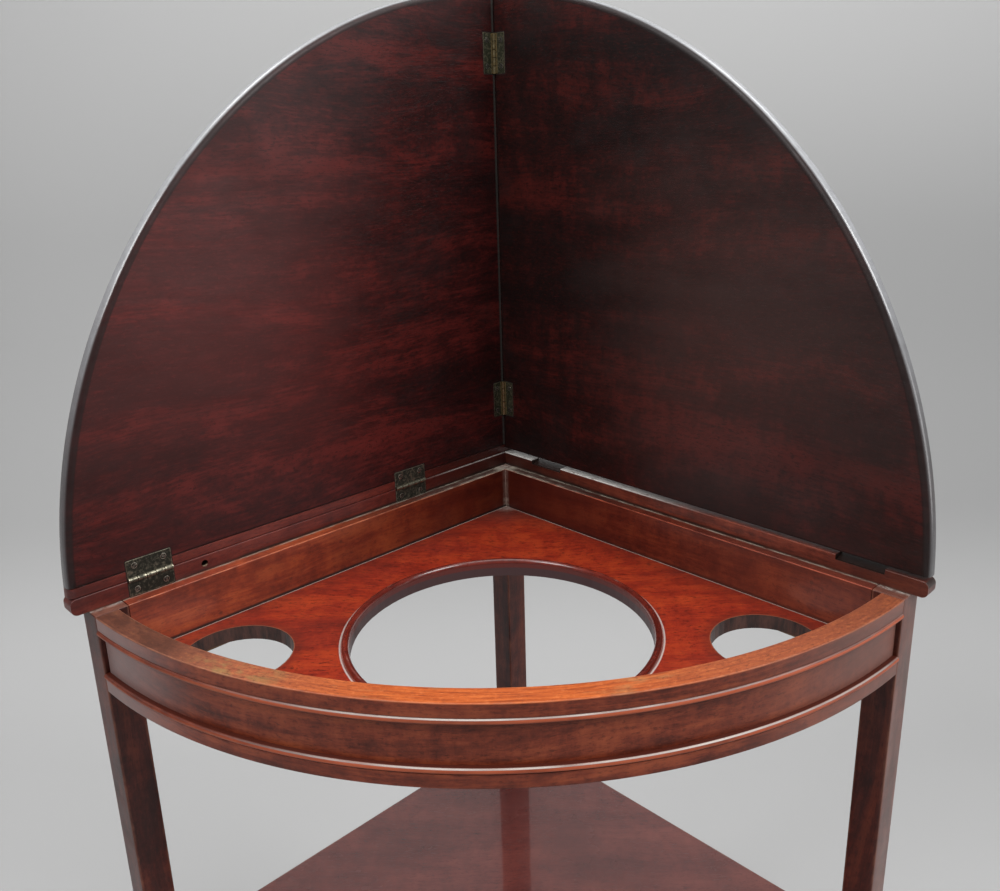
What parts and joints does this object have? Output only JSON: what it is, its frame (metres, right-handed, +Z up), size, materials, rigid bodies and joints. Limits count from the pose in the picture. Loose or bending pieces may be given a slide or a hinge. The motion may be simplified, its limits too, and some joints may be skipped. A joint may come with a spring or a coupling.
{
  "type": "corner washstand",
  "caption": "Corner washstand with a bowed front, a board with holes for a bowl and dishes, a hinged top shown raised, a lower shelf with a drawer and a shaped stretcher.",
  "frame": {"origin": "centre of the bounding box at floor level", "axes": "+Z up; +Y towards the room corner that the stand fits into, -Y towards the room, +X to the right as seen from the room"},
  "size_m": [0.6646, 0.4692, 1.259],
  "materials": {
    "red_mahogany": "polished, worn along the edges",
    "dark_mahogany": "dark glossy polish",
    "board_mahogany": "unfaded, low sheen",
    "oak": "bare, matt",
    "aged_brass": "tarnished olive brown",
    "knob_brass": "worn, half bright"
  },
  "bodies": {
    "stand": {"apron_lower_bead": "red_mahogany", "apron_upper_bead": "red_mahogany", "back_leg": "red_mahogany", "basin_board": "board_mahogany", "basin_rim": "red_mahogany", "bow_board_bearer": "oak", "bow_rail": "red_mahogany", "drawer_rail": "red_mahogany", "drawer_stop": "oak", "inner_strip_hinge_leaf_plate": "aged_brass", "inner_strip_hinge_pin": "aged_brass", "inner_strip_hinge_strip_plate": "aged_brass", "left_back_rail": "red_mahogany", "left_board_bearer": "oak", "left_drawer_guide": "oak", "left_drawer_runner": "oak", "left_leaf": "dark_mahogany", "left_leaf_lipping": "dark_mahogany", "left_leg": "red_mahogany", "left_lower_rail": "red_mahogany", "left_sham_front": "red_mahogany", "left_sham_knob": "knob_brass", "left_strip": "dark_mahogany", "lower_seam_hinge_left_plate": "aged_brass", "lower_seam_hinge_pin": "aged_brass", "outer_strip_hinge_leaf_plate": "aged_brass", "outer_strip_hinge_pin": "aged_brass", "outer_strip_hinge_strip_plate": "aged_brass", "right_back_rail": "red_mahogany", "right_board_bearer": "oak", "right_drawer_guide": "oak", "right_drawer_runner": "oak", "right_leg": "red_mahogany", "right_lower_rail": "red_mahogany", "right_sham_front": "red_mahogany", "right_sham_knob": "knob_brass", "right_strip": "dark_mahogany", "shelf": "dark_mahogany", "stretcher": "red_mahogany", "upper_seam_hinge_left_plate": "aged_brass", "upper_seam_hinge_pin": "aged_brass"},
    "right_leaf": {"right_leaf": "dark_mahogany", "lower_seam_hinge_right_plate": "aged_brass", "upper_seam_hinge_right_plate": "aged_brass"},
    "drawer": {"drawer_back": "oak", "drawer_bottom": "oak", "drawer_front": "red_mahogany", "drawer_knob": "knob_brass", "drawer_left_side": "oak", "drawer_right_side": "oak"}
  },
  "joints": [
    {"name": "right_leaf_swing", "type": "hinge", "parent": "stand", "child": "right_leaf", "pos_m": [0, 0.21485, 0.814], "axis": [0, 0, -1], "range_deg": [0, 90]},
    {"name": "drawer_slide", "type": "slide", "parent": "stand", "child": "drawer", "axis": [0, -1, 0], "range_m": [0, 0.15]}
  ]
}
